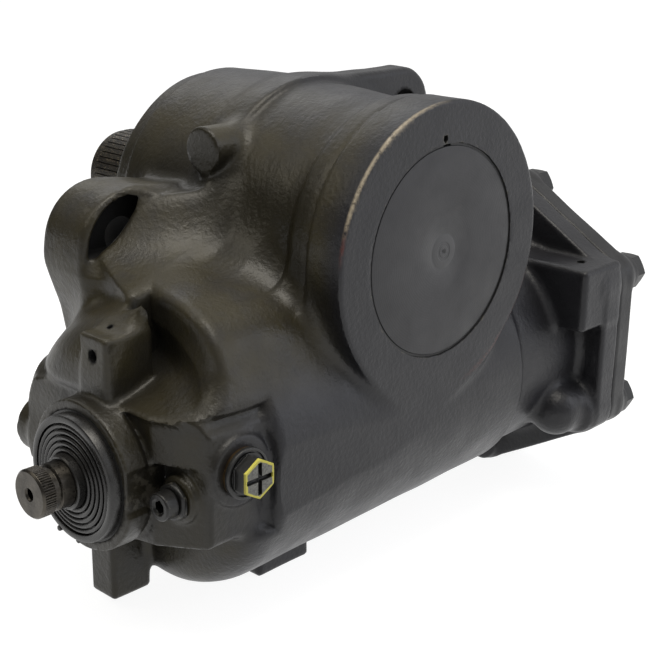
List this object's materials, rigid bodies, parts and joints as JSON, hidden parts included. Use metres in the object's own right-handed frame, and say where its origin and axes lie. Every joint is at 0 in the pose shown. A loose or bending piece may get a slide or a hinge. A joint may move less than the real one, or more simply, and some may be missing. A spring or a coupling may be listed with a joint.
{
  "type": "steering gearbox",
  "caption": "Recirculating-ball power steering gearbox: cast housing with round side lid, bolted cylinder cover, serrated input and output shafts, rack piston and rotary valve.",
  "frame": {"origin": "on the output shaft's axis, in the middle of its serration, where the drop arm sits", "axes": "+Y along the output shaft and out of it, +X along the worm from the input end to the cylinder cover, +Z from the worm towards the output shaft"},
  "size_m": [0.357, 0.253, 0.2365],
  "materials": {
    "cast_paint": "dark grey satin paint over a rough iron casting, worn on its edges",
    "lid_paint": "smooth dark grey satin paint",
    "bolt_paint": "dark satin paint over steel",
    "black_screw": "black oxide",
    "marked_plug": "dark paint with a yellow inspection mark",
    "seal_washer": "dull soft metal",
    "shaft_steel": "oiled dark steel, bright on the serration",
    "gear_steel": "ground steel",
    "bearing_steel": "polished steel",
    "spring_steel": "spring steel",
    "ring_plastic": "filled sealing plastic",
    "rubber": "matt black",
    "boot_rubber": "satin black"
  },
  "bodies": {
    "casing": {"housing": "cast_paint", "cylinder_cover": "cast_paint", "cover_bolts": "bolt_paint", "cover_seal": "rubber", "sector_cover": "lid_paint", "sector_cover_ring": "spring_steel", "sector_cover_seal": "rubber", "front_sector_bearing": "bearing_steel", "rear_sector_bearing": "bearing_steel", "sector_thrust_washer": "bearing_steel", "output_seal": "rubber", "output_dust_seal": "rubber", "adjuster_nut": "bolt_paint", "adjuster_seal": "rubber", "input_bearing": "bearing_steel", "input_seal": "rubber", "dust_boot": "boot_rubber", "inner_thrust_bearing": "bearing_steel", "outer_thrust_bearing": "bearing_steel", "limiter_screw": "black_screw", "limiter_nut": "black_screw", "relief_plug": "marked_plug", "relief_washer": "seal_washer", "relief_spring": "spring_steel", "relief_ball": "bearing_steel"},
    "sector": {"sector_shaft": "shaft_steel"},
    "piston": {"piston": "gear_steel", "piston_ring": "ring_plastic", "piston_ring_backing": "rubber", "ball_nut": "gear_steel", "nut_lock_ring": "gear_steel", "balls": "bearing_steel", "ball_return_tube": "spring_steel"},
    "worm": {"worm": "gear_steel", "valve_sleeve": "gear_steel", "valve_rings": "ring_plastic", "torsion_bar": "spring_steel", "torsion_pin": "spring_steel"},
    "input": {"input_shaft": "shaft_steel"}
  },
  "joints": [
    {"name": "sector_turn", "type": "hinge", "parent": "casing", "child": "sector", "pos_m": [0, 0, 0], "axis": [0, 1, 0], "range_deg": [-45, 45]},
    {"name": "piston_slide", "type": "slide", "parent": "casing", "child": "piston", "axis": [1, 0, 0], "range_m": [-0.0315, 0.0315]},
    {"name": "worm_spin", "type": "hinge", "parent": "casing", "child": "worm", "pos_m": [0, -0.1505, -0.083], "axis": [1, 0, 0], "range_deg": [-707, 707]},
    {"name": "input_twist", "type": "hinge", "parent": "worm", "child": "input", "pos_m": [0, -0.1505, -0.083], "axis": [1, 0, 0], "range_deg": [-5, 5], "stiffness_Nm_per_rad": 60}
  ],
  "couplings": [
    {"joint": "piston_slide", "follows": "sector_turn", "m_per_rad": -0.04},
    {"joint": "worm_spin", "follows": "sector_turn", "ratio": 15.708}
  ]
}
